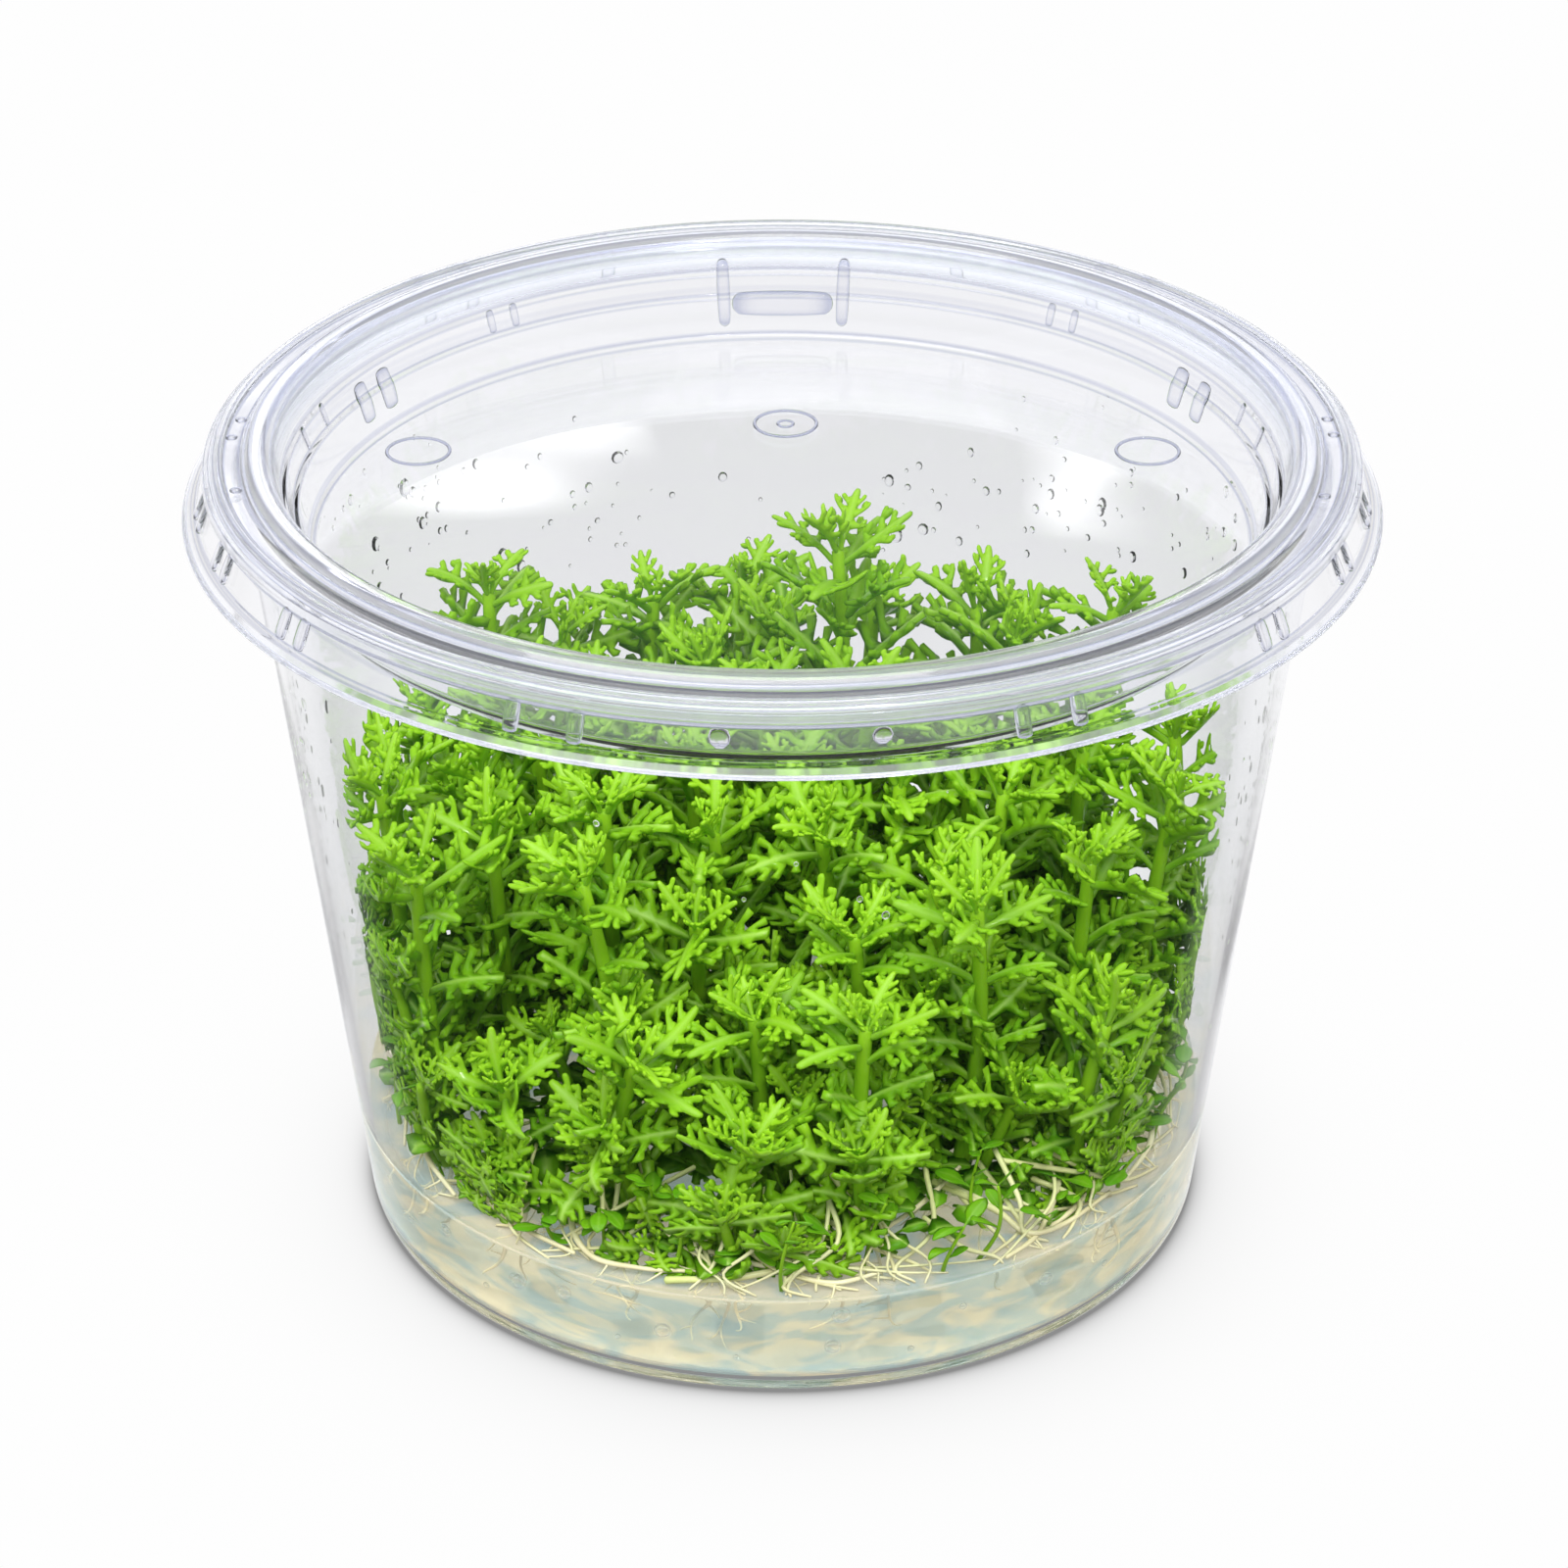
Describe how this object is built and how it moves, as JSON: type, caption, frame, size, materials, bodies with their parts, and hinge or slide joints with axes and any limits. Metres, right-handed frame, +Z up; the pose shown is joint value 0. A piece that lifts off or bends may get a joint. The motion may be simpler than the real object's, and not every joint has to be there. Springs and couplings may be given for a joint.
{
  "type": "water plant in a lidded culture cup",
  "caption": "Carpet of cut-leaved green water plantlets rooted in pale gel, grown inside a clear tapered plastic cup with a clear push-fit lid.",
  "frame": {"origin": "middle of the cup's foot, on the surface that it stands on", "axes": "+Z up along the cup's axis; the low front of the planting, as pictured, faces -Y"},
  "size_m": [0.11, 0.11, 0.0786],
  "materials": {
    "cup_plastic": "clear, polished, moulded",
    "lid_plastic": "clear, polished, moulded",
    "gel": "pale clear agar, wet",
    "plantlet": "fleshy leaf, damp satin",
    "runner": "fleshy stem, damp satin"
  },
  "bodies": {
    "root": {"cup": "cup_plastic", "lid": "lid_plastic", "gel": "gel", "plantlet_01": "plantlet", "plantlet_02": "plantlet", "plantlet_03": "plantlet", "plantlet_04": "plantlet", "plantlet_05": "plantlet", "plantlet_06": "plantlet", "plantlet_07": "plantlet", "plantlet_08": "plantlet", "plantlet_09": "plantlet", "plantlet_10": "plantlet", "plantlet_11": "plantlet", "plantlet_12": "plantlet", "plantlet_13": "plantlet", "plantlet_14": "plantlet", "plantlet_15": "plantlet", "plantlet_16": "plantlet", "plantlet_17": "plantlet", "plantlet_18": "plantlet", "plantlet_19": "plantlet", "plantlet_20": "plantlet", "plantlet_21": "plantlet", "plantlet_22": "plantlet", "plantlet_23": "plantlet", "plantlet_24": "plantlet", "plantlet_25": "plantlet", "plantlet_26": "plantlet", "plantlet_27": "plantlet", "plantlet_28": "plantlet", "plantlet_29": "plantlet", "plantlet_30": "plantlet", "plantlet_31": "plantlet", "plantlet_32": "plantlet", "plantlet_33": "plantlet", "plantlet_34": "plantlet", "plantlet_35": "plantlet", "plantlet_36": "plantlet", "plantlet_37": "plantlet", "plantlet_38": "plantlet", "plantlet_39": "plantlet", "plantlet_40": "plantlet", "plantlet_41": "plantlet", "plantlet_42": "plantlet", "plantlet_43": "plantlet", "plantlet_44": "plantlet", "plantlet_45": "plantlet", "plantlet_46": "plantlet", "plantlet_47": "plantlet", "plantlet_48": "plantlet", "runner_1": "runner", "runner_2": "runner", "runner_3": "runner", "runner_4": "runner", "runner_5": "runner", "runner_6": "runner"}
  },
  "joints": []
}
